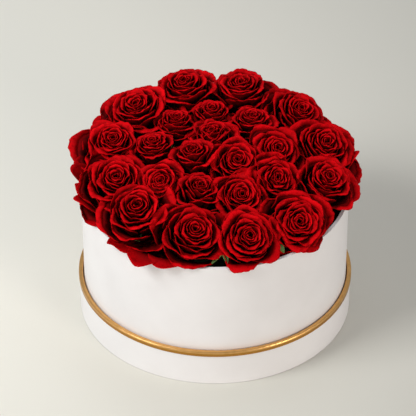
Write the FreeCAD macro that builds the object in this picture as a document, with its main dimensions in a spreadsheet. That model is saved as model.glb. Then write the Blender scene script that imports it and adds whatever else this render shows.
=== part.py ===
import FreeCAD, Part
import math
import os

import Sketcher

# A round paper-covered flower box that stands in its own upturned lid, filled with roses in floral foam.
# The origin is the centre of the lid's underside, +Z is up and the front of the arrangement faces -Y.

Vector = FreeCAD.Vector
UP = Vector(0, 0, 1)

SIZES = [
    # box, over its paper
    ("box_diameter", 250),
    ("box_height", 128),
    ("board_thickness", 2.4),
    ("paper_thickness", 0.3),
    ("glue_gap", 0.05),
    ("rim_turn_in", 22),
    ("base_turn_in", 12),
    # lid, with its edging
    ("lid_height", 38),
    ("lid_gap", 1.0),
    ("edging_height", 5),
    ("edging_thickness", 0.7),
    ("edging_round", 1.1),
    # waterproof liner and the foam block in it
    ("liner_gap", 0.4),
    ("liner_wall", 0.8),
    ("liner_height", 92),
    ("foam_gap", 0.3),
    ("foam_height", 70),
    # stems
    ("stem_diameter", 6),
    ("stem_gap", 0.1),
    ("stem_floor", 30),
    # places of the flower heads
    ("bloom_gap", 0.6),
    ("rim_gap", 0.8),
    ("rim_angle", 38),
    ("dome_angle", 10),
    ("dome_nesting_share", 0.97),
    ("crown_angle", 7),
    ("crown_nesting_share", 0.94),
    ("outer_lean_angle", 12),
    ("middle_lean_angle", 7),
    ("centre_lean_angle", 3),
    ("front_lean_angle", 5),
    ("face_angle", 11),
    # flower heads
    ("petal_thickness", 0.9),
    ("receptacle_diameter", 8),
    ("hip_diameter", 10.5),
    ("hip_height", 7),
    ("sepal_thickness", 0.8),
    ("sepal_width", 6),
    ("sepal_drop", 1.8),
]

doc = FreeCAD.newDocument("flower_box")
sheet = doc.addObject("Spreadsheet::Sheet", "Sizes")
for row, (alias, value) in enumerate(SIZES, 1):
    sheet.set(f"A{row}", alias)
    sheet.set(f"B{row}", str(value))
    sheet.setAlias(f"B{row}", alias)
doc.recompute()


def size(alias):
    return float(sheet.get(alias))


# Derived places, as expressions on the sheet
BOX_OUT = "Sizes.box_diameter / 2"
SKIN = "(Sizes.paper_thickness + Sizes.glue_gap)"
TUBE_OUT = f"({BOX_OUT} - {SKIN})"
TUBE_IN = f"({TUBE_OUT} - Sizes.board_thickness)"
MOUTH = f"({TUBE_IN} - {SKIN})"
BOX_FLOOR = f"({SKIN} + Sizes.board_thickness)"
BOX_RIM = f"({BOX_FLOOR} + Sizes.box_height)"
BOX_FLANGE = f"({BOX_OUT} - Sizes.base_turn_in)"

EDGING_IN = f"({BOX_OUT} + Sizes.lid_gap)"
HOOP_IN = f"({EDGING_IN} + Sizes.edging_thickness + Sizes.glue_gap)"
HOOP_OUT = f"({HOOP_IN} + Sizes.board_thickness)"
LID_OUT = f"({HOOP_OUT} + {SKIN})"
EDGING_OUT = f"({LID_OUT} + Sizes.glue_gap + Sizes.edging_thickness)"
LIP = "(Sizes.lid_height - Sizes.edging_thickness - Sizes.glue_gap)"
LID_FLANGE = f"({LID_OUT} - Sizes.base_turn_in)"

LINER_OUT = f"({MOUTH} - Sizes.liner_gap)"
LINER_FLOOR = f"({BOX_FLOOR} + {SKIN} + Sizes.board_thickness)"
FOAM_OUT = f"({LINER_OUT} - Sizes.liner_wall - Sizes.foam_gap)"
FOAM_FLOOR = f"({LINER_FLOOR} + Sizes.liner_wall)"


def worked_out(expression):
    return float(sheet.evalExpression(expression))


# Sketched bodies

def new_body(label, height="0"):
    body = doc.addObject("PartDesign::Body", label)
    body.Label = label
    body.setExpression("Placement.Base.z", height)
    return body


def new_sketch(body, name, role):
    plane = next(item for item in body.Origin.OriginFeatures if item.Role == role)
    sketch = body.newObject("Sketcher::SketchObject", f"{body.Name}_{name}")
    sketch.AttachmentSupport = (plane, [""])
    sketch.MapMode = "FlatFace"
    return sketch


def bind(sketch, constraint, expression):
    index = sketch.addConstraint(constraint)
    sketch.setExpression(f"Constraints[{index}]", expression)


def disc_body(label, radii, thickness, height):
    # A flat round piece, or a ring where two radii are given
    body = new_body(label, height)
    sketch = new_sketch(body, "outline", "XY_Plane")
    for index, radius in enumerate(radii):
        start = worked_out(radius)
        sketch.addGeometry(Part.Circle(Vector(), UP, start))
        sketch.addConstraint(Sketcher.Constraint("Coincident", index, 3, -1, 1))
        bind(sketch, Sketcher.Constraint("Radius", index, start), radius)
    pad = body.newObject("PartDesign::Pad", f"{label}_pad")
    pad.Profile = sketch
    pad.setExpression("Length", thickness)
    return body


def turned_body(label, corners):
    # A profile of straight sides turned about the vertical axis
    body = new_body(label)
    sketch = new_sketch(body, "profile", "XZ_Plane")
    places = [(worked_out(x), worked_out(z)) for x, z in corners]
    count = len(corners)
    for index, (x, z) in enumerate(places):
        next_x, next_z = places[(index + 1) % count]
        sketch.addGeometry(Part.LineSegment(Vector(x, z, 0), Vector(next_x, next_z, 0)))
    for index in range(count):
        sketch.addConstraint(Sketcher.Constraint("Coincident", index, 2, (index + 1) % count, 1))
    for index, (x, z) in enumerate(corners):
        start_x, start_z = places[index]
        bind(sketch, Sketcher.Constraint("DistanceX", -1, 1, index, 1, start_x), x)
        bind(sketch, Sketcher.Constraint("DistanceY", -1, 1, index, 1, start_z), z)
    turn = body.newObject("PartDesign::Revolution", f"{label}_turn")
    turn.Profile = sketch
    turn.ReferenceAxis = (sketch, ["V_Axis"])
    turn.Angle = 360
    return body


# Lid: board disc inside a board hoop, a paper skin turned in underneath, and a gold edging over the lip
lid_disc = disc_body("lid_disc", [f"{HOOP_IN} - Sizes.glue_gap"], "Sizes.board_thickness", SKIN)
lid_hoop = disc_body("lid_hoop", [HOOP_OUT, HOOP_IN], f"{LIP} - {SKIN}", SKIN)
lid_sheet = disc_body("lid_sheet", [f"{LID_FLANGE} - Sizes.glue_gap"], "Sizes.paper_thickness", "0")
lid_wrap = turned_body("lid_wrap", [
    (LID_FLANGE, "Sizes.glue_gap"),
    (LID_OUT, "Sizes.glue_gap"),
    (LID_OUT, LIP),
    (f"{LID_OUT} - Sizes.paper_thickness", LIP),
    (f"{LID_OUT} - Sizes.paper_thickness", SKIN),
    (LID_FLANGE, SKIN),
])

gold_edging = turned_body("gold_edging", [
    (EDGING_IN, "Sizes.lid_height - Sizes.edging_height"),
    (EDGING_IN, "Sizes.lid_height"),
    (EDGING_OUT, "Sizes.lid_height"),
    (EDGING_OUT, "Sizes.lid_height - Sizes.edging_height"),
    (f"{EDGING_OUT} - Sizes.edging_thickness", "Sizes.lid_height - Sizes.edging_height"),
    (f"{EDGING_OUT} - Sizes.edging_thickness", "Sizes.lid_height - Sizes.edging_thickness"),
    (f"{EDGING_IN} + Sizes.edging_thickness", "Sizes.lid_height - Sizes.edging_thickness"),
    (f"{EDGING_IN} + Sizes.edging_thickness", "Sizes.lid_height - Sizes.edging_height"),
])
doc.recompute()
turned_edging = gold_edging.Tip
top_edges = []
for number, edge in enumerate(turned_edging.Shape.Edges, 1):
    if abs(edge.BoundBox.ZMin - size("lid_height")) < 1e-6 and edge.BoundBox.ZLength < 1e-6:
        top_edges.append(f"Edge{number}")
rounding = gold_edging.newObject("PartDesign::Fillet", "gold_edging_round")
rounding.Base = (turned_edging, top_edges)
rounding.setExpression("Radius", "min(Sizes.edging_round; 2 * Sizes.edging_thickness)")

# Box: board tube and bottom, a paper skin that turns in over the rim and under the base, and a base sheet
TUBE_FOOT = f"{BOX_FLOOR} + {SKIN}"
box_tube = disc_body("box_tube", [TUBE_OUT, TUBE_IN], f"Sizes.box_height - 2 * {SKIN}", TUBE_FOOT)
box_bottom = disc_body("box_bottom", [f"{TUBE_IN} - Sizes.glue_gap"], "Sizes.board_thickness", TUBE_FOOT)
box_base_sheet = disc_body(
    "box_base_sheet", [f"{BOX_FLANGE} - Sizes.glue_gap"], "Sizes.paper_thickness", BOX_FLOOR
)
box_wrap = turned_body("box_wrap", [
    (BOX_FLANGE, f"{BOX_FLOOR} + Sizes.glue_gap"),
    (BOX_OUT, f"{BOX_FLOOR} + Sizes.glue_gap"),
    (BOX_OUT, BOX_RIM),
    (MOUTH, BOX_RIM),
    (MOUTH, f"{BOX_RIM} - Sizes.rim_turn_in"),
    (f"{MOUTH} + Sizes.paper_thickness", f"{BOX_RIM} - Sizes.rim_turn_in"),
    (f"{MOUTH} + Sizes.paper_thickness", f"{BOX_RIM} - Sizes.paper_thickness"),
    (f"{BOX_OUT} - Sizes.paper_thickness", f"{BOX_RIM} - Sizes.paper_thickness"),
    (f"{BOX_OUT} - Sizes.paper_thickness", TUBE_FOOT),
    (BOX_FLANGE, TUBE_FOOT),
])

# Liner: a thin open pot that drops into the box
liner = turned_body("liner", [
    ("0", LINER_FLOOR),
    (LINER_OUT, LINER_FLOOR),
    (LINER_OUT, f"{LINER_FLOOR} + Sizes.liner_height"),
    (f"{LINER_OUT} - Sizes.liner_wall", f"{LINER_FLOOR} + Sizes.liner_height"),
    (f"{LINER_OUT} - Sizes.liner_wall", FOAM_FLOOR),
    ("0", FOAM_FLOOR),
])
foam_block = disc_body("foam_block", [FOAM_OUT], "Sizes.foam_height", FOAM_FLOOR)


# Flower plan: three rings on a dome, each head in a ball of its own that just clears its neighbours.
# The outer ring nests on the rim, and each ring inside it sits a slope further up the dome, where the
# heads nest a little closer than their balls because a head tapers below its petals.

def cosine(degrees):
    return math.cos(math.radians(degrees))


def sine(degrees):
    return math.sin(math.radians(degrees))


def ring_plan():
    half_gap = size("bloom_gap") / 2
    counts = {"outer": 12, "middle": 9, "centre": 3}
    share = {name: sine(180 / count) for name, count in counts.items()}
    reach = cosine(size("rim_angle"))
    outer_ring = worked_out(MOUTH) - (size("rim_gap") - half_gap) * reach
    outer_ring /= 1 + share["outer"] * reach
    outer_ball = outer_ring * share["outer"] - half_gap
    outer_height = worked_out(BOX_RIM) + (outer_ball + size("rim_gap")) * sine(size("rim_angle"))
    rings = [("outer", outer_ring, outer_height, outer_ball)]
    for name, step in (("middle", "dome"), ("centre", "crown")):
        below_ring, below_height, below_ball = rings[-1][1:]
        inward = cosine(size(f"{step}_angle")) * size(f"{step}_nesting_share")
        upward = sine(size(f"{step}_angle")) * size(f"{step}_nesting_share")
        ring = (below_ring - (below_ball + half_gap) * inward) / (1 + share[name] * inward)
        ball = ring * share[name] - half_gap
        height = below_height + (below_ball + ball + 2 * half_gap) * upward
        rings.append((name, ring, height, ball))
    return [(name, counts[name], ring, height, ball) for name, ring, height, ball in rings]


def head_placement(azimuth, ring, height, lean, spin, pivot):
    # Leans a head outward on its azimuth and turns its face to the front where it stands,
    # then leans the whole dome to the front about the outer ring
    outward = FreeCAD.Rotation(UP, azimuth).multiply(FreeCAD.Rotation(Vector(0, 1, 0), lean))
    faced = FreeCAD.Rotation(Vector(1, 0, 0), size("face_angle")).multiply(outward)
    turned = faced.multiply(FreeCAD.Rotation(UP, spin))
    place = Vector(ring * cosine(azimuth), ring * sine(azimuth), height - pivot.z)
    dome = FreeCAD.Rotation(Vector(1, 0, 0), size("front_lean_angle"))
    return FreeCAD.Placement(pivot + dome.multVec(place), dome.multiply(turned))


START_ANGLE = {"outer": 15, "middle": 12, "centre": 93}
GOLDEN_ANGLE = 137.5

heads = []
for ring_name, count, ring, height, ball in ring_plan():
    if not heads:
        lift = ring * sine(size("front_lean_angle"))
        pivot = Vector(0, 0, height + lift)
    for index in range(count):
        azimuth = START_ANGLE[ring_name] + 360 / count * index
        lean = size(f"{ring_name}_lean_angle")
        spin = GOLDEN_ANGLE * len(heads)
        placement = head_placement(azimuth, ring, height + lift, lean, spin, pivot)
        heads.append((ring_name, placement, ball))


# Petals: thin strips of flat facets with rounded shoulders, one edge of each tucked under its neighbour.
# Places are shares of the head's ball radius: (distance from the axis, height).

OPEN_ROSE = [
    {"count": 5, "line": [(0.40, -0.72), (0.78, -0.46), (0.92, -0.02)], "span": 75, "tuck": 0.14, "turn": 0},
    {"count": 5, "line": [(0.44, -0.34), (0.80, 0.24)], "span": 75, "tuck": 0.14, "turn": 36},
    {"count": 3, "line": [(0.34, -0.34), (0.63, 0.42)], "span": 124, "tuck": 0.22, "turn": 10},
    {"count": 3, "line": [(0.22, -0.34), (0.43, 0.53)], "span": 124, "tuck": 0.22, "turn": 70},
]
HALF_OPEN_ROSE = [
    {"count": 5, "line": [(0.36, -0.74), (0.80, -0.36), (0.90, 0.16)], "span": 75, "tuck": 0.14, "turn": 0},
    {"count": 3, "line": [(0.40, -0.34), (0.68, 0.42)], "span": 124, "tuck": 0.22, "turn": 36},
    {"count": 3, "line": [(0.25, -0.34), (0.46, 0.55)], "span": 124, "tuck": 0.22, "turn": 96},
]
ROSE_KIND = {"outer": OPEN_ROSE, "middle": HALF_OPEN_ROSE, "centre": HALF_OPEN_ROSE}
PETAL_HEIGHTS = [0.72, 1, 0.97, 0.68]
SEPAL_HEIGHTS = [0.10, 1, 0.10]
BASE_SHARE = 0.92
CORE_SIDES = 8
CORE_LINE = [(0.36, -0.80), (0.58, -0.52), (0.62, -0.26)]
BUD_SIDES = 6
BUD_LINE = [(0.08, -0.30), (0.22, 0.20), (0.18, 0.56), (0.08, 0.44)]
HIP_SIDES = 6
SEPAL_END = (0.78, -0.62)
SEPAL_COUNT = 5


def closed_solid(faces):
    solid = Part.makeSolid(Part.makeShell(faces))
    if solid.Volume < 0:
        solid.reverse()
    return solid


def flat_faces(corners):
    # One flat face, or two triangles where four corners don't lie in one plane
    corners = [c for i, c in enumerate(corners) if not c.isEqual(corners[i - 1], 1e-7)]
    if len(corners) == 4:
        normal = (corners[1] - corners[0]).cross(corners[2] - corners[0])
        if abs(normal.dot(corners[3] - corners[0])) > 1e-6 * normal.Length:
            return flat_faces(corners[:3]) + flat_faces([corners[0], corners[2], corners[3]])
    if len(corners) < 3:
        return []
    return [Part.Face(Part.makePolygon(corners + corners[:1]))]


def around(distance, height, angle):
    return Vector(distance * cosine(angle), distance * sine(angle), height)


def thickened(line, thickness):
    # The closed outline of a strip with the given middle line
    sides = []
    for (r1, z1), (r2, z2) in zip(line, line[1:]):
        length = math.hypot(r2 - r1, z2 - z1)
        sides.append(((z2 - z1) / length, (r1 - r2) / length))
    joined = [sides[0]]
    for (a, b), (c, d) in zip(sides, sides[1:]):
        spread = 1 + a * c + b * d
        joined.append(((a + c) / spread, (b + d) / spread))
    joined.append(sides[-1])
    half = thickness / 2
    outer = [(r + a * half, z + b * half) for (r, z), (a, b) in zip(line, joined)]
    inner = [(r - a * half, z - b * half) for (r, z), (a, b) in zip(line, joined)]
    return outer + inner[::-1]


def leaf_strip(line, thickness, angles, heights, tuck):
    # A strip of flat facets through the angles. Its end is lower towards the shoulders,
    # and the tuck brings one edge nearer to the axis than the other.
    outline = thickened(line, thickness)
    count = len(line)
    rings = []
    for place, (angle, end) in enumerate(zip(angles, heights)):
        reach = 1 + tuck * (place / (len(angles) - 1) - 0.5)
        section = list(outline)
        for last, before in ((count - 1, count - 2), (count, count + 1)):
            (r1, z1), (r2, z2) = outline[before], outline[last]
            section[last] = (r1 + end * (r2 - r1), z1 + end * (z2 - z1))
        rings.append([around(r * reach, z, angle) for r, z in section])
    faces = [Part.Face(Part.makePolygon(edge + edge[:1])) for edge in (rings[0], rings[-1])]
    for one, two in zip(rings, rings[1:]):
        for here in range(len(outline)):
            there = (here + 1) % len(outline)
            faces += flat_faces([one[here], one[there], two[there], two[here]])
    return closed_solid(faces)


def petal(row, ball):
    line = [(r * ball, z * ball) for r, z in row["line"]]
    steps = len(PETAL_HEIGHTS) - 1
    angles = [row["span"] * (index / steps - 0.5) for index in range(steps + 1)]
    return leaf_strip(line, size("petal_thickness"), angles, PETAL_HEIGHTS, row["tuck"])


def turned_facets(line, sides):
    # A closed round of flat facets from the axis out along the line and back to the axis
    profile = [(0, line[0][1])] + line + [(0, line[-1][1])]
    rings = [[around(r, z, 360 / sides * index) for r, z in profile] for index in range(sides)]
    faces = []
    for one, two in zip(rings, rings[1:] + rings[:1]):
        for here in range(len(profile) - 1):
            faces += flat_faces([one[here], one[here + 1], two[here + 1], two[here]])
    return closed_solid(faces)


def rose(rows, ball):
    # A goblet-shaped core carries the bud and rings of petals, each ring turned to cover the gaps below it
    base = -BASE_SHARE * ball
    seat = size("receptacle_diameter") / 2
    core = turned_facets([(seat, base)] + [(r * ball, z * ball) for r, z in CORE_LINE], CORE_SIDES)
    bud = turned_facets([(r * ball, z * ball) for r, z in BUD_LINE], BUD_SIDES)
    pieces = [bud]
    for row in rows:
        first = petal(row, ball)
        for index in range(row["count"]):
            copy = first.copy()
            copy.rotate(Vector(), UP, row["turn"] + 360 / row["count"] * index)
            pieces.append(copy)
    return core.multiFuse(pieces).removeSplitter().Solids[0]


def calyx(ball):
    # The swollen hip under a head, with five pointed sepals that spread below the petals
    seat = size("receptacle_diameter") / 2
    stem = size("stem_diameter") / 2
    swell = size("hip_diameter") / 2
    top = -BASE_SHARE * ball
    foot = top - size("hip_height")
    shoulder = foot + size("hip_height") * 0.4
    belly = (shoulder + top) / 2
    hip = turned_facets([(stem, foot), (swell, shoulder), (swell, belly), (seat, top)], HIP_SIDES)
    line = [(seat / 2, top - size("sepal_drop")), (SEPAL_END[0] * ball, SEPAL_END[1] * ball)]
    half_angle = math.degrees(math.atan2(size("sepal_width") / 2, line[1][0]))
    angles = [-half_angle, 0, half_angle]
    sepal = leaf_strip(line, size("sepal_thickness"), angles, SEPAL_HEIGHTS, 0)
    sepals = []
    for index in range(SEPAL_COUNT):
        copy = sepal.copy()
        copy.rotate(Vector(), UP, 360 / SEPAL_COUNT * index)
        sepals.append(copy)
    return hip.multiFuse(sepals).removeSplitter().Solids[0]


# Heads, one node each
blooms = []
shapes = {}
for index, (ring_name, placement, ball) in enumerate(heads, 1):
    if ring_name not in shapes:
        shapes[ring_name] = (rose(ROSE_KIND[ring_name], ball), calyx(ball))
    bloom = doc.addObject("Part::Feature", f"rose_bloom_{index:02d}")
    bloom.Label = bloom.Name
    bloom.Shape = shapes[ring_name][0]
    bloom.Placement = placement
    blooms.append(bloom)

# Calyxes, stems and the holes that the stems make in the foam, ring by ring
stem_tip = worked_out(FOAM_FLOOR) + size("stem_floor")
calyx_groups = []
stem_groups = []
holes = []
for ring_name in shapes:
    calyx_copies = []
    stems = []
    for index, (name, placement, ball) in enumerate(heads, 1):
        if name != ring_name:
            continue
        copy = shapes[name][1].copy()
        copy.Placement = placement
        calyx_copies.append(copy)
        axis = placement.Rotation.multVec(UP)
        foot = placement.Base - axis * (BASE_SHARE * ball + size("hip_height"))
        length = (foot.z - stem_tip) / axis.z
        for label, gap in ((f"stem_{index:02d}", "0"), (f"hole_{index:02d}", "Sizes.stem_gap")):
            rod = doc.addObject("Part::Cylinder", label)
            rod.setExpression("Radius", f"Sizes.stem_diameter / 2 + {gap}")
            rod.Height = length
            rod.Placement = FreeCAD.Placement(foot - axis * length, placement.Rotation)
            (stems if gap == "0" else holes).append(rod)
    group = doc.addObject("Part::Feature", f"{ring_name}_calyxes")
    group.Label = group.Name
    group.Shape = Part.makeCompound(calyx_copies)
    calyx_groups.append(group)
    bunch = doc.addObject("Part::Compound", f"{ring_name}_stems")
    bunch.Label = bunch.Name
    bunch.Links = stems
    stem_groups.append(bunch)

all_holes = doc.addObject("Part::Compound", "stem_holes")
all_holes.Links = holes
foam = doc.addObject("Part::Cut", "foam")
foam.Label = "foam"
foam.Base = foam_block
foam.Tool = all_holes
doc.recompute()

sub_parts = [lid_disc, lid_hoop, lid_sheet, lid_wrap, gold_edging]
sub_parts += [box_tube, box_bottom, box_base_sheet, box_wrap, liner, foam]
sub_parts += blooms + calyx_groups + stem_groups

# Nothing is written unless every object worked out and every sub-part is a sound solid
for item in doc.Objects:
    if "Invalid" in item.State or "Error" in item.State:
        raise RuntimeError(f"{item.Name} did not work out: {item.State}")
for item in sub_parts:
    if item.Shape.isNull() or not item.Shape.isValid() or item.Shape.Volume <= 0:
        raise RuntimeError(f"{item.Label} is not a sound solid")

os.makedirs("parts", exist_ok=True)
for item in sub_parts:
    item.Shape.exportStep(f"parts/{item.Label}.step")
    print(item.Label, len(item.Shape.Solids), round(item.Shape.Volume, 1))
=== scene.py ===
import math

import bmesh
import bpy
import numpy as np
from mathutils import Matrix, Vector


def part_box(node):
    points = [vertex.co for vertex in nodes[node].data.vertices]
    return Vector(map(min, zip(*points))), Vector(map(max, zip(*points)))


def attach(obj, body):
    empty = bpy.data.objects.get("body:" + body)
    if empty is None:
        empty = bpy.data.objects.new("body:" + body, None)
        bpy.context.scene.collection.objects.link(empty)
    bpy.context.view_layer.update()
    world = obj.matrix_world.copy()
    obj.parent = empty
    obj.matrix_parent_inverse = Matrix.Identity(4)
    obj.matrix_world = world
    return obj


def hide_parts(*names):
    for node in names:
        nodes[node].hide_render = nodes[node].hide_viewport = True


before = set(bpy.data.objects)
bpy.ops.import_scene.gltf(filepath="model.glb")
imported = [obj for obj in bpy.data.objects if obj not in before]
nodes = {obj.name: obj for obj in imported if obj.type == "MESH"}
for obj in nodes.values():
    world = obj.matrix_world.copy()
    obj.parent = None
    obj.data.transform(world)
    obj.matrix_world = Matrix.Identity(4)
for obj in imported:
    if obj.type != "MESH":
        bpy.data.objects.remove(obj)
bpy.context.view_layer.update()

print("frame loaded:", len(nodes), "nodes")


class Field:
    # a node socket that can be used in sums, for geometry and for shaders
    def __init__(self, tree, socket=None):
        self.tree = tree
        self.socket = socket

    def node(self, kind, inputs=None, out=0, **settings):
        made = self.tree.nodes.new(kind)
        for name, value in settings.items():
            setattr(made, name, value)
        for name, value in (inputs or {}).items():
            links = [value] if isinstance(value, Field) else value
            if isinstance(links, list):  # a join takes several
                for link in links:
                    self.tree.links.new(link.socket, made.inputs[name])
            else:
                made.inputs[name].default_value = value
        return Field(self.tree, made.outputs[out])

    def maths(self, operation, *values):
        return self.node("ShaderNodeMath", dict(enumerate(values)), operation=operation)

    def __add__(self, other):
        return self.maths("ADD", self, other)

    def __sub__(self, other):
        return self.maths("SUBTRACT", self, other)

    def __rsub__(self, other):
        return self.maths("SUBTRACT", other, self)

    def __mul__(self, other):
        return self.maths("MULTIPLY", self, other)

    def __truediv__(self, other):
        return self.maths("DIVIDE", self, other)

    def __rtruediv__(self, other):
        return self.maths("DIVIDE", other, self)

    def __pow__(self, other):
        return self.maths("POWER", self, other)

    __radd__ = __add__
    __rmul__ = __mul__

    def sin(self):
        return self.maths("SINE", self)

    def cos(self):
        return self.maths("COSINE", self)

    def size(self):
        return self.maths("ABSOLUTE", self)

    def ramp(self, low, high, smooth=True):
        return self.node("ShaderNodeMapRange", {"Value": self, "From Min": low, "From Max": high},
                         interpolation_type="SMOOTHSTEP" if smooth else "LINEAR", clamp=True)

    def mix(self, low, high):
        return self.node("ShaderNodeMix", {0: self, 6: low, 7: high}, out=2, data_type="RGBA")

    def noise(self, scale, detail, out=0):
        return self.node("ShaderNodeTexNoise", {"Vector": self, "Scale": scale, "Detail": detail}, out=out)

    def parts(self):
        # the x, y and z of a vector
        x = self.node("ShaderNodeSeparateXYZ", {"Vector": self})
        return [Field(self.tree, socket) for socket in x.socket.node.outputs]


# what the trees share

def openTree(name, sockets):
    # a new tree with named inputs, and the method that adds its nodes
    tree = bpy.data.node_groups.new(name, "GeometryNodeTree")
    inputs = {}
    for label, kind in sockets.items():
        made = tree.interface.new_socket(label, in_out="INPUT", socket_type=f"NodeSocket{kind}")
        inputs[label] = made.identifier
    tree.interface.new_socket("Mesh", in_out="OUTPUT", socket_type="NodeSocketGeometry")
    entry = tree.nodes.new("NodeGroupInput")
    given = {label: Field(tree, entry.outputs[label]) for label in sockets}
    return tree, inputs, given, Field(tree).node


def closeTree(tree, make, mesh, finish):
    mesh = make("GeometryNodeMergeByDistance", {"Geometry": mesh, "Distance": 1e-6})
    mesh = make("GeometryNodeSetShadeSmooth", {"Geometry": mesh})
    mesh = make("GeometryNodeRealizeInstances", {"Geometry": mesh})
    mesh = make("GeometryNodeSetMaterial", {"Geometry": mesh, "Material": finish})
    tree.links.new(mesh.socket, tree.nodes.new("NodeGroupOutput").inputs[0])


def thickSheet(make, sheet, thickness):
    # gives an open sheet a back and edges
    back = make("GeometryNodeExtrudeMesh", {"Mesh": sheet, "Offset Scale": thickness, "Individual": False},
                mode="FACES")
    return make("GeometryNodeJoinGeometry", {0: [make("GeometryNodeFlipFaces", {"Mesh": sheet}), back]})


def copiedGrid(make, count, across, along):
    # copies of a grid, the place on each, -1 to 1 across and 0 to 1 along, and the copy's number
    grid = make("GeometryNodeMeshGrid", {"Size X": 2.0, "Size Y": 1.0,
                                         "Vertices X": across, "Vertices Y": along})
    points = make("GeometryNodePoints", {"Count": count})
    copies = make("GeometryNodeInstanceOnPoints", {"Points": points, "Instance": grid})
    index = make("GeometryNodeInputIndex")
    copies = make("GeometryNodeStoreNamedAttribute", {"Geometry": copies, "Name": "number", "Value": index},
                  data_type="FLOAT", domain="INSTANCE")
    copies = make("GeometryNodeRealizeInstances", {"Geometry": copies})
    u, v, _ = make("GeometryNodeInputPosition").parts()
    number = make("GeometryNodeInputNamedAttribute", {"Name": "number"}, data_type="FLOAT")
    return copies, u, v + 0.5, number


def chances(make, number, seed):
    # a source of random values, one for each copy
    def chance(low, high, salt):
        return make("FunctionNodeRandomValue", {2: low, 3: high, "ID": number, "Seed": seed + salt},
                    out=1, data_type="FLOAT")
    return chance


def bent(rise, values):
    # a cubic curve on four values
    fall = 1.0 - rise
    weights = [fall ** 3.0, 3.0 * fall * fall * rise, 3.0 * fall * rise * rise, rise ** 3.0]
    return sum(weight * value for weight, value in zip(weights, values))


def around(make, reach, angle, height):
    # the place at a distance and an angle round the axis
    return make("ShaderNodeCombineXYZ", {"X": reach * angle.cos(), "Y": reach * angle.sin(), "Z": height})


def closedEnds(v):
    # draws a tube's first and last rows in to a point
    return v.ramp(0.0, 0.002, smooth=False) * (1.0 - v.ramp(0.998, 1.0, smooth=False))


def marked(make, mesh, marks):
    # keeps values on the points, for the petals' material and for draping
    for name, value in marks.items():
        mesh = make("GeometryNodeStoreNamedAttribute", {"Geometry": mesh, "Name": name, "Value": value},
                    data_type="FLOAT", domain="POINT")
    return mesh


# waves along a petal's lip, in radians over half its width
waves = {"phase": 6.28, "apart": 1.7, "up": (2.0, 5.0), "out": (2.5, 6.0)}

# rose heads: one tree makes every head from a spiral of petals, with lengths as shares of the head's radius
roseShape = {
    "across": 21, "along": 21,  # grid points on a petal
    "goldenTurn": 2.39996, "turnChance": 0.25,  # radians from a petal to the next
    "bodyShare": 0.60,  # the rest of a petal's rows make its rolled lip
    "thickness": 0.010,
    # a petal's profile, outwards and upwards: at the heart, then by turn, turn squared, looseness and hang
    "far": [(0.02, 0.14, 0, 0, 0), (0.12, 0.80, -0.12, 0, 0),
            (0.06, 0.50, 0.26, 0.10, 0.14), (0.07, 0.66, 0.20, 0.18, 0.24)],
    "high": [(-0.30, -0.58, 0, 0, 0), (-0.10, -0.85, 0.15, 0, 0),
             (0.38, 0.42, -0.68, -0.10, -0.12), (0.55, 0.20, -0.78, -0.16, -0.22)],
    "loose": 0.22, "hangFrom": 0.80,
    # pairs: at the heart, and how much is added towards the outermost petal
    "shoulder": (0.12, 0.18), "curl": (0.030, 0.085), "bend": (1.0, 1.1), "flare": (0.02, 0.05),
    "point": (0.02, 0.07),
    # ranges of chance
    "length": (0.93, 1.05), "curlChance": (0.7, 1.3), "bendChance": (0.7, 1.25), "pointChance": (0.0, 1.4),
    "width": (0.85, 1.1),
    "shoulderPower": 2.4, "flatSides": 0.8,
    "edgeSteps": (2.6, 7.3, 3.1),  # how fast the edge's noise runs across, by petal and by seed
    "nick": 0.22, "tear": 0.20, "tearScale": 2.4,  # uneven and ragged edges
    "tuck": 0.035, "fold": 0.05, "ruffleUp": 0.030, "ruffleOut": 0.036,
    "spread": 1.80, "spreadLoss": 0.82, "spreadPower": 0.6,  # half a petal's angle, radians
    "rootWidth": 0.42, "lipLoss": 0.24,
    "wobbles": [(3.2, 0.09), (7.5, 0.075)],  # fineness and amount of slow bends, then of creases
}


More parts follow.
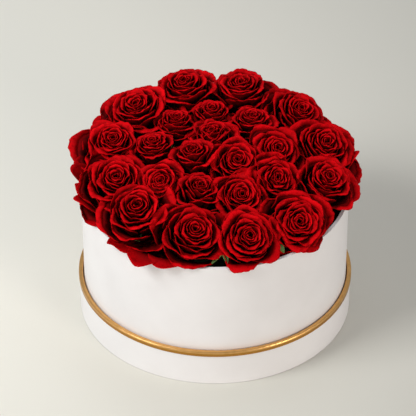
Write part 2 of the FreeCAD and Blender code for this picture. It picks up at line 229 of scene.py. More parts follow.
def roseTree():
    tree, inputs, given, make = openTree("roseHead", {
        "Petals": "Int", "Radius": "Float", "Openness": "Float", "Guard": "Float", "Ruffle": "Float",
        "Seed": "Int", "Finish": "Material"})
    shape = roseShape
    petals, u, v, petal = copiedGrid(make, given["Petals"], shape["across"], shape["along"])
    chance = chances(make, petal, given["Seed"])
    turn = petal / (given["Petals"] - 1.0)  # 0 at the heart, 1 at the outermost petal

    def byTurn(key):
        heart, change = shape[key]
        return heart + change * turn

    side = u.size()
    body = (v / shape["bodyShare"]).ramp(0.0, 1.0, smooth=False)
    roll = ((v - shape["bodyShare"]) / (1 - shape["bodyShare"])).ramp(0.0, 1.0, smooth=False)
    steps = zip("XYZ", (u, petal, given["Seed"]), shape["edgeSteps"])
    edge = make("ShaderNodeCombineXYZ", {axis: value * step for axis, value, step in steps})
    nick = edge.noise(1.0, 2.0) - 0.5
    tear = edge.noise(shape["tearScale"], 1.0) - 0.5
    rise = body * (1.0 - side ** shape["shoulderPower"] * byTurn("shoulder")) * chance(*shape["length"], 1)
    rise = rise * (1.0 + (shape["nick"] * nick + shape["tear"] * tear) * turn)
    loose = given["Openness"] * turn + chance(-shape["loose"], shape["loose"], 2) * turn
    hang = given["Guard"] * turn.ramp(shape["hangFrom"], 1.0)
    drivers = (1.0, turn, turn * turn, loose, hang)

    def profile(points):
        return [sum(share * driver for share, driver in zip(point, drivers) if share) for point in points]

    reach = bent(rise, profile(shape["far"]))
    height = bent(rise, profile(shape["high"]))

    curl = byTurn("curl") * chance(*shape["curlChance"], 3)
    bend = roll * (1.0 - shape["flatSides"] * side ** 3.0) * byTurn("bend") * chance(*shape["bendChance"], 4)
    reach = reach + curl * (1.0 - bend.cos()) + byTurn("flare") * side ** 4.0 * rise * rise
    height = height + curl * bend.sin()
    point = roll * roll * (1.0 - side) ** 2.0 * byTurn("point") * chance(*shape["pointChance"], 11)
    reach = reach + point  # the middle of the lip runs to a soft point
    reach = reach + shape["tuck"] * u * (0.25 + turn)  # one edge tucks under the next petal
    reach = reach + shape["fold"] * nick * rise * rise * (0.3 + turn)  # soft folds that run up the petal
    phase = chance(0.0, waves["phase"], 5)
    lip = rise ** 3.0 * given["Ruffle"]
    up = u * chance(*waves["up"], 6) + phase
    out = u * chance(*waves["out"], 7) + phase * waves["apart"]
    height = height + shape["ruffleUp"] * lip * (0.4 + turn) * up.sin()
    reach = reach + shape["ruffleOut"] * lip * (0.2 + turn) * out.sin()

    spread = shape["spread"] - shape["spreadLoss"] * turn ** shape["spreadPower"]
    spread = spread * (shape["rootWidth"] + (1 - shape["rootWidth"]) * body.ramp(0.0, 1.0))
    spread = spread * chance(*shape["width"], 8)
    spread = spread * (1.0 - shape["lipLoss"] * roll * roll)  # the lip is narrower than the petal's belly
    angle = petal * shape["goldenTurn"] + chance(-shape["turnChance"], shape["turnChance"], 9) + spread * u
    spot = around(make, reach, angle, height)
    for fineness, amount in shape["wobbles"]:
        wobble = spot.noise(fineness, 1.0, out=1)
        wobble = make("ShaderNodeVectorMath", {0: wobble, 1: (0.5, 0.5, 0.5)}, operation="SUBTRACT")
        wobble = make("ShaderNodeVectorMath", {0: wobble, "Scale": amount * rise}, operation="SCALE")
        spot = make("ShaderNodeVectorMath", {0: spot, 1: wobble}, operation="ADD")
    spot = make("ShaderNodeVectorMath", {0: spot, "Scale": given["Radius"]}, operation="SCALE")
    petals = marked(make, petals, {"along": v, "across": u, "ring": turn, "tone": chance(0.0, 1.0, 10)})
    petals = make("GeometryNodeSetPosition", {"Geometry": petals, "Position": spot})
    whole = thickSheet(make, petals, given["Radius"] * shape["thickness"])
    closeTree(tree, make, whole, given["Finish"])
    return tree, inputs


# under each head: a swollen hip with sepals, and a stem with a few thorns, in metres
greenShape = {
    "hipGrid": (19, 11), "hipHeight": 0.007, "hipRadius": 0.0053, "seatRadius": 0.0042, "swell": 0.8,
    "sepals": 5, "sepalGrid": (7, 13), "sepalWidth": 0.0036, "sepalThickness": 0.0005,
    "sepalRoot": 0.0022, "sepalSeat": -0.0018, "sepalAside": 0.0018, "sepalFold": 0.35,
    "sepalFullness": (0.85, 1.15), "sepalTurn": 0.15,
    "sepalLength": (0.48, 0.62), "sepalRise": 0.15, "sepalDroop": (0.12, 0.26),  # shares of the head's radius
    "stemGrid": (15, 30), "stemRadius": 0.003, "stemBase": 0.84, "stemKnots": 0.30,
    "barkSteps": (9.0, 5.7, 0.3),  # how fast the knots' noise runs along, by seed and round the stem
    "thorns": 5, "thornLength": 0.0042, "thornRadius": 0.0011, "thornTilt": 1.75, "thornTurn": 3.1,
    "thornStart": 0.05, "thornStep": 0.09,  # shares of the stem's length
}


def calyxTree():
    tree, inputs, given, make = openTree("calyx", {"Radius": "Float", "Seed": "Int", "Finish": "Material"})
    shape = greenShape
    shell, u, v, _ = copiedGrid(make, 1, *shape["hipGrid"])
    swell = (v * math.pi).sin() * (shape["hipRadius"] - shape["stemRadius"])
    radius = shape["stemRadius"] + v * (shape["seatRadius"] - shape["stemRadius"]) + swell * shape["swell"]
    spot = around(make, radius * closedEnds(v), u * math.pi, (v - 1.0) * shape["hipHeight"])
    hip = make("GeometryNodeSetPosition", {"Geometry": shell, "Position": spot})

    sepals, u, v, number = copiedGrid(make, shape["sepals"], *shape["sepalGrid"])
    chance = chances(make, number, given["Seed"])
    length = given["Radius"] * chance(*shape["sepalLength"], 1)
    reach = shape["sepalRoot"] + v * length
    rise = given["Radius"] * (shape["sepalRise"] * v - chance(*shape["sepalDroop"], 2) * v ** 3.0)
    width = shape["sepalWidth"] * ((v + 0.04) ** 0.5) * (1.0 - v ** 2.2) * chance(*shape["sepalFullness"], 3)
    fold = width * u * u * shape["sepalFold"]  # the sides fold up along the midrib
    height = shape["sepalSeat"] + rise + fold
    turn = number * (2 * math.pi / shape["sepals"]) + chance(-shape["sepalTurn"], shape["sepalTurn"], 4)
    aside = u * width + chance(-shape["sepalAside"], shape["sepalAside"], 5) * v * v
    spot = make("ShaderNodeCombineXYZ", {"X": reach * turn.cos() - aside * turn.sin(),
                                         "Y": reach * turn.sin() + aside * turn.cos(), "Z": height})
    sepals = make("GeometryNodeSetPosition", {"Geometry": sepals, "Position": spot})
    sepals = thickSheet(make, sepals, shape["sepalThickness"])
    whole = make("GeometryNodeJoinGeometry", {0: [hip, sepals]})
    closeTree(tree, make, whole, given["Finish"])
    return tree, inputs


def stemTree():
    tree, inputs, given, make = openTree("stem", {"Length": "Float", "Seed": "Int", "Finish": "Material"})
    shape = greenShape
    shell, u, v, _ = copiedGrid(make, 1, *shape["stemGrid"])
    angle = u * math.pi
    steps = zip("XYZ", (v, given["Seed"], angle.cos()), shape["barkSteps"])
    bark = make("ShaderNodeCombineXYZ", {axis: value * step for axis, value, step in steps})
    knots = shape["stemKnots"] * bark.noise(1.0, 2.0) * (v * math.pi).sin()
    radius = shape["stemRadius"] * (shape["stemBase"] + knots)
    spot = around(make, radius * closedEnds(v), angle, (v - 1.0) * given["Length"])
    stalk = make("GeometryNodeSetPosition", {"Geometry": shell, "Position": spot})

    drop = (make("GeometryNodeInputIndex") * shape["thornStep"] + shape["thornStart"]) * given["Length"]
    seats = make("ShaderNodeCombineXYZ", {"Z": drop * -1.0})
    points = make("GeometryNodePoints", {"Count": shape["thorns"], "Position": seats})
    thorn = make("GeometryNodeMeshCone", {"Vertices": 6, "Radius Bottom": shape["thornRadius"],
                                          "Depth": shape["thornLength"]})
    facing = make("FunctionNodeRandomValue", {2: -shape["thornTurn"], 3: shape["thornTurn"],
                                              "Seed": given["Seed"]}, out=1, data_type="FLOAT")
    aim = make("ShaderNodeCombineXYZ", {"Y": shape["thornTilt"], "Z": facing})
    thorns = make("GeometryNodeInstanceOnPoints", {"Points": points, "Instance": thorn, "Rotation": aim})
    whole = make("GeometryNodeJoinGeometry", {0: [stalk, thorns]})
    closeTree(tree, make, whole, given["Finish"])
    return tree, inputs


def placed(name, data):
    # a new object in the scene
    made = bpy.data.objects.new(name, data)
    bpy.context.collection.objects.link(made)
    return made


def grown(name, tree, inputs, values, matrix):
    # runs a tree once and keeps its result as a plain mesh in place
    holder = placed(name, bpy.data.meshes.new(name + "Start"))
    modifier = holder.modifiers.new("grow", "NODES")
    modifier.node_group = tree
    for label, value in values.items():
        modifier[inputs[label]] = value
    depsgraph = bpy.context.evaluated_depsgraph_get()
    mesh = bpy.data.meshes.new_from_object(holder.evaluated_get(depsgraph))
    holder.modifiers.clear()
    holder.data = mesh
    mesh.materials.clear()
    mesh.materials.append(values["Finish"])
    mesh.polygons.foreach_set("material_index", np.zeros(len(mesh.polygons), dtype=np.int32))
    mesh.transform(matrix)
    return holder


def bunched(name, pieces, finish):
    # one object from the meshes of several
    whole = bmesh.new()
    for piece in pieces:
        whole.from_mesh(piece.data)
    mesh = bpy.data.meshes.new(name)
    whole.to_mesh(mesh)
    whole.free()
    mesh.materials.append(finish)
    for piece in pieces:
        bpy.data.objects.remove(piece)
    return placed(name, mesh)


# materials

def newMaterial(name, **constants):
    material = bpy.data.materials.new(name)
    material.use_nodes = True
    shader = material.node_tree.nodes["Principled BSDF"]
    for label, value in constants.items():
        shader.inputs[label.replace("_", " ")].default_value = value
    return material, Field(material.node_tree), shader


def feed(shader, label, value):
    value.tree.links.new(value.socket, shader.inputs[label])


def objectPlace(field):
    return field.node("ShaderNodeTexCoord", out=3)


petalLook = {
    # the darkest red is painted shade low on each petal, deep in the head, and the lip's brighter red is a
    # painted highlight
    "baseShade": (0.006, 0.0001, 0.0002, 1.0),
    "body": (0.37, 0.0004, 0.0020, 1.0),
    "lip": (0.77, 0.0018, 0.0055, 1.0),
    "edge": (0.20, 0.0003, 0.0012, 1.0),
    # darker patches are painted shade of small crumples in the petals
    "crumpleShade": (0.17, 0.0003, 0.0010, 1.0), "crumpleShadeAmount": 0.6,
    "baseShadeFade": (0.40, 0.80), "bright": (0.62, 1.0), "dry": (0.95, 1.0),  # stretches along a petal: painted shade low down, painted highlight towards the lip, then the dried edge
    "veins": 46.0, "relief": 0.0005,
}


def petalMaterial():
    material, field, shader = newMaterial("rosePetal", Sheen_Weight=0.03, Sheen_Roughness=0.35,
                                          Sheen_Tint=(1.0, 0.02, 0.03, 1.0), Specular_IOR_Level=0.03)
    along, across, tone = (field.node("ShaderNodeAttribute", attribute_name=name, out=2)
                           for name in ("along", "across", "tone"))
    place = objectPlace(field)
    cloud = place.noise(90.0, 3.0)
    mottle = place.noise(230.0, 4.0)
    fine = place.noise(900.0, 2.0)
    # painted shade low on each petal, fading into the body colour
    low = along.ramp(*petalLook["baseShadeFade"]) + cloud * 0.2 - 0.1
    # painted highlight on the upper petal and its lip, stronger on some petals than on others
    edge = along.ramp(*petalLook["bright"]) * (0.35 + 0.65 * tone) + cloud * 0.4 - 0.2
    dried = along.ramp(*petalLook["dry"]) * (tone * 0.9 + cloud * 0.4 - 0.2)  # some petals have a darker edge
    colour = low.ramp(0.0, 1.0, smooth=False).mix(petalLook["baseShade"], petalLook["body"])
    colour = edge.ramp(0.0, 1.0, smooth=False).mix(colour, petalLook["lip"])
    # painted shade of small crumples, on the same noise that drives the crumple bump
    colour = (mottle.ramp(0.47, 0.70) * petalLook["crumpleShadeAmount"]).mix(colour, petalLook["crumpleShade"])
    colour = dried.ramp(0.0, 1.0, smooth=False).mix(colour, petalLook["edge"])
    feed(shader, "Base Color", colour)
    feed(shader, "Roughness", 0.5 + 0.2 * cloud)
    veins = (across * petalLook["veins"] + cloud * 6.0).sin() * 0.2 + fine + cloud * 1.5 + mottle * 1.2
    bump = {"Height": veins, "Strength": 0.35, "Distance": petalLook["relief"]}
    feed(shader, "Normal", field.node("ShaderNodeBump", bump))
    return material


paperLook = {
    # line is the colour of the seam line and also of the painted contact shadow at the foot
    "white": (0.85, 0.836, 0.835, 1.0), "shade": (0.81, 0.793, 0.79, 1.0), "line": (0.52, 0.50, 0.48, 1.0),
    "seam": 0.012, "seamBack": (0.08, 0.09), "seamStep": 0.0003, "seamLine": (0.0001, 0.0007),  # metres
    # foot: heights over the floor of the painted contact shadow along the walls' bottom edge
    "foot": (0.0002, 0.0014), "relief": 0.0002,
}


def paperMaterial():
    material, field, shader = newMaterial("coveringPaper", Specular_IOR_Level=0.4)
    place = objectPlace(field)
    x, y, z = place.parts()
    cloud = place.noise(22.0, 4.0)
    fibre = place.noise(1400.0, 3.0)
    back = y.ramp(*paperLook["seamBack"])
    past = x - paperLook["seam"]
    # the sheet's end laps over its start
    overlap = past.ramp(-paperLook["seamStep"], paperLook["seamStep"]) * back
    line = (1.0 - past.size().ramp(*paperLook["seamLine"])) * back
    # painted contact shadow along the bottom edge, where the wall meets the floor
    contactShadow = (1.0 - z.ramp(*paperLook["foot"])) * (0.5 + 0.5 * cloud)
    colour = cloud.ramp(0.3, 0.75).mix(paperLook["white"], paperLook["shade"])
    colour = (line * 0.6 + contactShadow).ramp(0.0, 1.0, smooth=False).mix(colour, paperLook["line"])
    feed(shader, "Base Color", colour)
    feed(shader, "Roughness", 0.42 + 0.12 * fibre)
    bump = {"Height": fibre * 0.08 + overlap, "Strength": 1.0, "Distance": paperLook["relief"]}
    feed(shader, "Normal", field.node("ShaderNodeBump", bump))
    return material


goldLook = {
    # low is painted shade on the edging's lower half, which faces the floor
    "bright": (0.76, 0.43, 0.15, 1.0), "worn": (0.68, 0.37, 0.115, 1.0), "low": (0.46, 0.215, 0.036, 1.0),
    "turn": (0.0352, 0.0368),  # heights between which painted shade sets in on the edging's lower half, metres
}


def goldMaterial():
    material, field, shader = newMaterial("goldEdging", Metallic=0.9)
    place = objectPlace(field)
    brushed = place.noise(160.0, 2.0)
    # painted shade on the lower half of the edging
    shadedUnderside = 1.0 - place.parts()[2].ramp(*goldLook["turn"])
    colour = brushed.ramp(0.3, 0.7).mix(goldLook["bright"], goldLook["worn"])
    feed(shader, "Base Color", (shadedUnderside * (0.8 + 0.3 * brushed)).ramp(0.0, 1.0).mix(colour, goldLook["low"]))
    feed(shader, "Roughness", 0.28 + 0.08 * brushed)
    return material


def plainMaterial(name, low, high, scale, rough, bump):
    # a mottled finish for board, foam, liner and green pieces
    material, field, shader = newMaterial(name)
    grain = objectPlace(field).noise(scale, 5.0)
    feed(shader, "Base Color", grain.ramp(0.3, 0.7).mix((*low, 1.0), (*high, 1.0)))
    feed(shader, "Roughness", rough + 0.15 * grain)
    relief = {"Height": grain, "Strength": bump, "Distance": 0.0005}
    feed(shader, "Normal", field.node("ShaderNodeBump", relief))
    return material


finishes = {
    "petal": petalMaterial(),
    "paper": paperMaterial(),
    "gold": goldMaterial(),
    # two colours, the grain's scale, roughness and relief
    "board": plainMaterial("greyBoard", (0.40, 0.36, 0.30), (0.52, 0.48, 0.42), 300.0, 0.75, 0.2),
    "liner": plainMaterial("linerPlastic", (0.012, 0.013, 0.012), (0.022, 0.024, 0.022), 60.0, 0.35, 0.05),
    "foam": plainMaterial("floralFoam", (0.016, 0.045, 0.016), (0.035, 0.085, 0.03), 700.0, 0.8, 0.6),
    "stem": plainMaterial("stemGreen", (0.035, 0.085, 0.018), (0.07, 0.14, 0.03), 180.0, 0.4, 0.15),
    "leaf": plainMaterial("leafGreen", (0.05, 0.12, 0.02), (0.11, 0.21, 0.04), 150.0, 0.42, 0.15),
}

# the nodes that keep their own meshes
dressed = {
    "paper": ["box_wrap", "box_base_sheet", "lid_wrap", "lid_sheet"],
    "gold": ["gold_edging"],
    "board": ["box_tube", "box_bottom", "lid_hoop", "lid_disc"],
    "liner": ["liner"],
    "foam": ["foam"],
}
for finish, names in dressed.items():
    for name in names:
        nodes[name].data.materials.clear()
        nodes[name].data.materials.append(finishes[finish])
print("materials set:", len(finishes))


# roses in place
dome = {
    "outer": 12.0, "middle": 7.0, "centre": 3.0, "front": 16.0,  # leans of the heads, degrees
    "depth": 1.5, "heart": 0.92,  # height of a head and of its heart over the seat, shares of its radius
    "seatSlice": 0.0005,  # metres
    "headTurn": 2.4, "calyxTurn": 1.3,  # radians from a head to the next, so that no two look alike
    "stemEntry": 0.9,  # the stem starts this share of the hip's height down
}
rings = {"outer": range(1, 13), "middle": range(13, 22), "centre": range(22, 25)}
heads = {
    "outer": {"petals": 31, "openness": 0.15, "ruffle": 1.0, "guard": 0.7},
    "middle": {"petals": 29, "openness": 0.1, "ruffle": 1.0, "guard": 0.6},
    "centre": {"petals": 28, "openness": 0.1, "ruffle": 1.2, "guard": 0.6},
}
# each head as set one by one: share of its ball, nod to the right and to the back in degrees, lift in mm
handSet = {
    1: (1.20, 5, -8, 0), 2: (1.16, 14, -7, 2), 3: (1.20, -4, 2, 4), 4: (1.24, -4, 2, 5), 5: (1.32, -2, -3, 2),
    6: (1.16, 8, -5, 0), 7: (1.22, 16, -5, 0), 8: (1.22, 4, 4, 0), 9: (1.20, 15, 0, 0), 10: (1.10, 7, -9, 0),
    11: (1.14, 5, -18, 0), 12: (1.07, 7, 0, 0), 13: (1.36, 1, -14, 0), 14: (1.16, -3, 12, 0),
    15: (1.12, -3, 11, 0), 16: (1.12, 6, 14, 0), 17: (1.16, 0, 14, 0), 18: (1.07, -3, -15, 0),
    19: (1.22, 10, 15, 0), 20: (1.27, 4, -8, 0), 21: (1.32, 12, -13, 0), 22: (1.18, -5, 7, 0),
    23: (1.36, -6, 15, 0), 24: (1.36, 1, -11, 0),
}
moods = {  # heads that differ from their ring
    1: {"openness": 0.4, "guard": 1.6}, 2: {"guard": 1.2}, 3: {"openness": 0.3, "guard": 1.1},
    4: {"openness": 0.3, "guard": 1.1}, 5: {"openness": 0.45, "guard": 1.2}, 6: {"guard": 1.9},
    7: {"openness": 0.4, "guard": 1.3}, 8: {"openness": 0.5, "petals": 26, "guard": 1.4},
    9: {"openness": 0.35, "petals": 28, "guard": 0.8}, 10: {"openness": 0.2, "guard": 0.3},
    11: {"petals": 37, "ruffle": 1.4}, 12: {"openness": 0.0, "guard": 1.0}, 13: {"openness": 0.2},
    19: {"petals": 23, "ruffle": 1.3}, 20: {"openness": 0.25}, 21: {"ruffle": 1.6},
    22: {"ruffle": 2.6, "petals": 32}, 23: {"petals": 22, "ruffle": 1.3},
}


def headPlace(node, lean):
    # the seat of a head on its stem, its tilt and its radius, read from the frame
    corners = np.array([vertex.co for vertex in node.data.vertices])
    middle = corners.mean(0)
    azimuth = math.atan2(middle[1], middle[0])
    tilt = Matrix.Rotation(math.radians(dome["front"]), 3, "X") @ Matrix.Rotation(azimuth, 3, "Z")
    tilt = tilt @ Matrix.Rotation(math.radians(lean), 3, "Y")
    along = corners @ np.array(tilt @ Vector((0, 0, 1)))
    low, high = along.min(), along.max()
    seat = Vector(corners[along < low + dome["seatSlice"]].mean(0))
    return seat, tilt, (high - low) / dome["depth"]


# where the rim is, in metres, and how steeply petals may fall inside and outside it
rim = {"inner": 0.1205, "outer": 0.1262, "top": 0.1317, "soft": 0.0012, "inFall": 3.0, "outFall": 0.8,
       "layer": 0.012, "span": 12}  # past a span of soft heights nothing moves


def draped(mesh):
    # petals that would run into the rim lie over it, one on another, and hang a little outside
    def column(name):
        values = np.empty(len(mesh.vertices))
        mesh.attributes[name].data.foreach_get("value", values)
        return values

    corners = np.empty(len(mesh.vertices) * 3)
    mesh.vertices.foreach_get("co", corners)
    corners = corners.reshape(-1, 3)
    sheet = np.round(np.stack([column(name) for name in ("ring", "along", "across")], axis=1), 4)
    spots, spot = np.unique(sheet, axis=0, return_inverse=True)  # the two faces of a petal share a spot
    spot = spot.ravel()
    middle = np.stack([np.bincount(spot, corners[:, axis]) for axis in range(3)], axis=1)
    middle /= np.bincount(spot)[:, None]
    reach = np.hypot(middle[:, 0], middle[:, 1])
    floor = rim["top"] - rim["inFall"] * np.clip(rim["inner"] - reach, 0, None)
    floor += rim["layer"] * (1 - spots[:, 0])
    floor -= rim["outFall"] * np.clip(reach - rim["outer"], 0, None)
    over = np.clip((middle[:, 2] - floor) / rim["soft"], -40, rim["span"])
    rise = np.where(over < rim["span"], floor + rim["soft"] * np.log1p(np.exp(over)) - middle[:, 2], 0)
    corners[:, 2] += rise[spot]
    mesh.vertices.foreach_set("co", corners.ravel())
    mesh.update()


roseMaker, calyxMaker, stemMaker = roseTree(), calyxTree(), stemTree()
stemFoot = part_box("outer_stems")[0][2]
hips = {}
for ring, numbers in rings.items():
    calyxes, stems = [], []
    for number in numbers:
        name = f"rose_bloom_{number:02d}"
        seat, tilt, radius = headPlace(nodes[name], dome[ring])
        look = heads[ring] | moods.get(number, {})
        grow, right, back, lift = handSet[number]
        seat.z += lift / 1000
        nod = Matrix.Rotation(math.radians(right), 3, "Y") @ Matrix.Rotation(math.radians(-back), 3, "X")
        facing = nod @ tilt @ Matrix.Rotation(dome["headTurn"] * number, 3, "Z")
        matrix = Matrix.Translation(seat) @ facing.to_4x4()
        matrix = matrix @ Matrix.Translation((0, 0, dome["heart"] * radius))
        values = {"Petals": look["petals"], "Radius": radius * grow, "Openness": look["openness"],
                  "Guard": look["guard"], "Ruffle": look["ruffle"], "Seed": number,
                  "Finish": finishes["petal"]}
        rose = grown(f"rose{number:02d}", *roseMaker, values, matrix)
        draped(rose.data)
        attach(rose, "arrangement")
        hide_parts(name)

        axis = tilt @ Vector((0, 0, 1))
        foot = seat + axis * radius * dome["heart"] * (1 - grow)  # where the grown head ends below
        hips[number] = foot
        facing = nod @ tilt @ Matrix.Rotation(dome["calyxTurn"] * number, 3, "Z")
        matrix = Matrix.Translation(foot) @ facing.to_4x4()
        values = {"Radius": radius, "Seed": number, "Finish": finishes["leaf"]}
        calyxes.append(grown(f"calyx{number:02d}", *calyxMaker, values, matrix))

        top = foot - axis * greenShape["hipHeight"] * dome["stemEntry"]
        values = {"Length": (top.z - stemFoot) / axis.z, "Seed": number, "Finish": finishes["stem"]}
        matrix = Matrix.Translation(top) @ tilt.to_4x4()
        stems.append(grown(f"stem{number:02d}", *stemMaker, values, matrix))
    for pieces, kind, finish in ((calyxes, "calyxes", "leaf"), (stems, "stems", "stem")):
        bunch = bunched(ring + kind.capitalize(), pieces, finishes[finish])
        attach(bunch, "arrangement")
        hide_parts(f"{ring}_{kind}")
print("roses grown:", sum(len(numbers) for numbers in rings.values()))


# wide guard petals that grow from the outer hips and fill the rim at the sides and the back, in metres
guardShape = {
    "across": 15, "along": 17, "thickness": 0.0003,
    "heads": range(1, 9), "moved": {8: (17, 0.018)},  # turn in degrees, and drop
    "each": 3, "fan": 0.19,
    "far": (0.112, 0.121, 0.129), "high": (0.1300, 0.1375, 0.1555),  # from near the hip to the lip
    "halfWidth": 0.023, "widthAt": 0.118, "rootWidth": 0.14, "lipLoss": 0.18,
    "shoulder": 0.34, "shoulderPower": 2.4,
    "cup": 0.006, "curl": 0.006, "layer": 0.0014, "rootStep": 0.0009, "tuck": 0.0012, "ruffle": 0.0016,
    "sink": 0.0015,  # the roots start this far under the hip's top
    # ranges of chance
    "length": (0.82, 1.08), "curlChance": (0.3, 1.5), "droopChance": (0.2, 1.6), "width": (0.85, 1.1),
    "fanChance": 0.2, "tone": (0.0, 0.6),
    "lipTone": 0.86,  # how far up the painted shade and painted highlight a guard petal's lip gets
    "ringStep": 0.03,  # order in which the petals lie on the rim
}


def guardTree():
    tree, inputs, given, make = openTree("guardPetals", {
        "Count": "Int", "Reach": "Float", "Height": "Float", "Azimuth": "Float", "Drop": "Float",
        "Seed": "Int", "Finish": "Material"})
    shape = guardShape
    petals, u, v, number = copiedGrid(make, given["Count"], shape["across"], shape["along"])
    chance = chances(make, number, given["Seed"])
    place = number - (shape["each"] - 1) / 2
    rise = v * (1.0 - shape["shoulder"] * u.size() ** shape["shoulderPower"]) * chance(*shape["length"], 1)
    lip = rise ** 4.0
    reach = bent(rise, (given["Reach"], *shape["far"]))
    height = bent(rise, (given["Height"], *shape["high"])) - given["Drop"] * rise
    reach = reach - shape["cup"] * u * u * rise + shape["curl"] * lip * chance(*shape["curlChance"], 2)
    height = height - 0.5 * shape["curl"] * lip * chance(*shape["droopChance"], 3)
    reach = reach + shape["layer"] * (1.0 - place.size()) * v + shape["rootStep"] * place * (1.0 - v)
    reach = reach + shape["tuck"] * u * v  # one edge tucks under the next petal
    phase = chance(0.0, waves["phase"], 4)
    out = u * chance(*waves["out"], 5) + phase
    up = u * chance(*waves["up"], 6) + phase * waves["apart"]
    reach = reach + shape["ruffle"] * lip * out.sin()
    height = height + shape["ruffle"] * lip * up.sin()
    width = shape["halfWidth"] * (shape["rootWidth"] + (1 - shape["rootWidth"]) * v.ramp(0.0, 0.75))
    width = width * (1.0 - shape["lipLoss"] * v * v) * chance(*shape["width"], 7)
    fan = (place + chance(-shape["fanChance"], shape["fanChance"], 8)) * shape["fan"]
    angle = given["Azimuth"] + fan * v
    angle = angle + u * width / shape["widthAt"]
    spot = around(make, reach, angle, height)
    petals = marked(make, petals, {
        "along": v * shape["lipTone"], "across": u, "ring": 1.0 - number * shape["ringStep"],
        "tone": chance(*shape["tone"], 9)})
    petals = make("GeometryNodeSetPosition", {"Geometry": petals, "Position": spot})
    closeTree(tree, make, thickSheet(make, petals, shape["thickness"]), given["Finish"])
    return tree, inputs


def buildGuards():
    maker, tufts = guardTree(), []
    for number in guardShape["heads"]:
        hip = hips[number]
        turn, drop = guardShape["moved"].get(number, (0, 0.0))
        azimuth = math.atan2(hip.y, hip.x) + math.radians(turn)
        values = {"Count": guardShape["each"], "Reach": math.hypot(hip.x, hip.y),
                  "Height": hip.z - guardShape["sink"], "Azimuth": azimuth, "Drop": drop, "Seed": number * 20,
                  "Finish": finishes["petal"]}
        tuft = grown(f"guard{number:02d}", *maker, values, Matrix.Identity(4))
        draped(tuft.data)
        tufts.append(tuft)
    guards = bunched("guardPetals", tufts, finishes["petal"])
    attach(guards, "arrangement")


buildGuards()
print("guard petals grown:", len(guardShape["heads"]) * guardShape["each"])


# long sepals that show between the front heads: root, bend and tip of each, in metres
frontSepals = {
    "width": 0.0056, "thickness": 0.0006, "fold": 0.45,
    "taper": (0.12, 0.98), "fullness": 0.8,  # the stretch of a sine that gives the width, and its roundness
    "stations": 14, "sides": (-1, -0.5, 0, 0.5, 1),
    "blades": [
        ((0.0070, -0.1060, 0.1375), (0.0030, -0.1140, 0.1375), (-0.0035, -0.1195, 0.1325)),
        ((0.0080, -0.1060, 0.1375), (0.0090, -0.1140, 0.1370), (0.0105, -0.1195, 0.1325)),
        ((0.0560, -0.0960, 0.1370), (0.0590, -0.1030, 0.1375), (0.0615, -0.1060, 0.1345)),
    ],
}


def sepalBlade(sheet, root, bend, tip):
    # a narrow leaf along a bent line, folded up a little at its sides
    root, bend, tip = Vector(root), Vector(bend), Vector(tip)
    first, last = frontSepals["taper"]
    rows = []
    for station in range(frontSepals["stations"]):
        share = station / (frontSepals["stations"] - 1)
        middle = root.lerp(bend, share).lerp(bend.lerp(tip, share), share)
        along = (bend - root).lerp(tip - bend, share).normalized()
        across = along.cross(Vector((0, 0, 1))).normalized()
        swell = math.sin(math.pi * (first + (last - first) * share))
        half = frontSepals["width"] / 2 * swell ** frontSepals["fullness"]
        fold = Vector((0, 0, half * frontSepals["fold"]))
        rows.append([sheet.verts.new(middle + across * half * side + fold * side * side)
                     for side in frontSepals["sides"]])
    for one, two in zip(rows, rows[1:]):
        for column in range(len(one) - 1):
            face = sheet.faces.new((one[column], one[column + 1], two[column + 1], two[column]))
            face.smooth = True


def buildFrontSepals():
    sheet = bmesh.new()
    for blade in frontSepals["blades"]:
        sepalBlade(sheet, *blade)
    mesh = bpy.data.meshes.new("frontSepals")
    sheet.to_mesh(mesh)
    sheet.free()
    mesh.materials.append(finishes["leaf"])
    blades = placed("frontSepals", mesh)
    wall = blades.modifiers.new("wall", "SOLIDIFY")
    wall.thickness = frontSepals["thickness"]
    wall.offset = 0
    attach(blades, "arrangement")


buildFrontSepals()
print("front sepals set:", len(frontSepals["blades"]))


# floor, light and camera
studio = {
    "floorSize": 30,
    # floorLit and floorDim are painted light and painted shade of one pale floor colour
    "floorLit": (0.89, 0.88, 0.79, 1.0), "floorDim": (0.475, 0.47, 0.425, 1.0),
    "floorShade": (0.5, 1.2, 0.3),  # painted shade at the box, its growth to the right and its loss to the back
    "farFloor": (0.34, 0.335, 0.31, 1.0), "farFrom": (0.6, 2.0),  # metres
    "sky": (0.93, 0.95, 1.0, 1.0), "skyPower": 0.38,
    "lampAim": (0, 0, 0.08), "spread": 84.0,  # degrees
    "lamps": {  # power, place, size and colour
        "key": (6.8, (-1.4, -0.7, 1.5), 0.9, (1.0, 0.99, 0.985)),
        "fill": (6.1, (1.7, -2.1, 0.85), 0.9, (1.0, 0.89, 0.80)),
        "top": (1.6, (0.1, 0.6, 1.8), 1.2, (1.0, 1.0, 1.0)),
    },
}
view = {
    "aim": (-0.0067, 0.0, 0.1061), "distance": 2.25, "elevation": 36.5,  # metres and degrees
    "focalPixels": 2393.6, "imageWidth": 416, "sensor": 36, "clipEnd": 50,
}


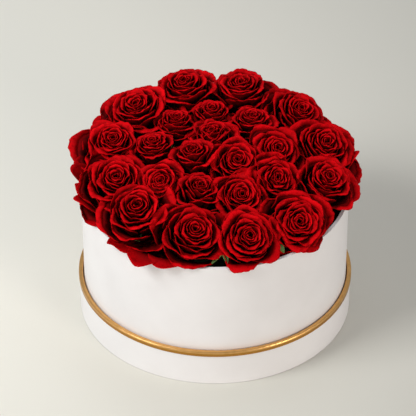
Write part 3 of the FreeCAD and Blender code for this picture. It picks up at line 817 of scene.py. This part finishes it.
def areaLight(name, power, place, size, colour):
    light = bpy.data.lights.new(name, "AREA")
    light.energy = power
    light.size = size
    light.color = colour
    light.spread = math.radians(studio["spread"])
    lamp = placed(name, light)
    lamp.location = place
    lamp.rotation_euler = (Vector(studio["lampAim"]) - Vector(place)).to_track_quat("-Z", "Y").to_euler()


def floorMaterial():
    # pale, with painted light towards the left and the back and painted shade towards the right and the front
    material, field, shader = newMaterial("paleFloor", Roughness=0.85, Emission_Strength=1.0)
    x, y, _ = objectPlace(field).parts()
    middle, growth, loss = studio["floorShade"]
    shade = (middle + growth * x - loss * y).ramp(0.0, 1.0, smooth=False)
    feed(shader, "Base Color", shade.mix(studio["floorLit"], studio["floorDim"]))
    seen = sum(field.node("ShaderNodeLightPath", out=f"Is {ray} Ray")
               for ray in ("Camera", "Glossy", "Transmission"))
    far = ((x * x + y * y) ** 0.5).ramp(*studio["farFrom"]) * seen  # stays pale where no lamp reaches
    feed(shader, "Emission Color", far.mix((0.0, 0.0, 0.0, 1.0), studio["farFloor"]))
    return material


def buildStudio():
    bpy.ops.mesh.primitive_plane_add(size=studio["floorSize"], location=(0, 0, 0))
    floor = bpy.context.object
    floor.name = "floor"
    floor.data.materials.append(floorMaterial())
    world = bpy.data.worlds.new("studio")
    bpy.context.scene.world = world
    world.use_nodes = True
    world.node_tree.nodes["Background"].inputs[0].default_value = studio["sky"]
    world.node_tree.nodes["Background"].inputs[1].default_value = studio["skyPower"]
    for name, settings in studio["lamps"].items():
        areaLight(name, *settings)


def buildCamera():
    camera = placed("camera", bpy.data.cameras.new("camera"))
    angle = math.radians(view["elevation"])
    camera.location = Vector(view["aim"]) + view["distance"] * Vector((0, -math.cos(angle), math.sin(angle)))
    camera.rotation_euler = (math.pi / 2 - angle, 0, 0)
    camera.data.lens = view["focalPixels"] / view["imageWidth"] * view["sensor"]
    camera.data.sensor_width = view["sensor"]
    camera.data.clip_end = view["clipEnd"]
    bpy.context.scene.camera = camera
    bpy.context.scene.view_settings.view_transform = "Standard"


buildStudio()
buildCamera()
print("studio ready")
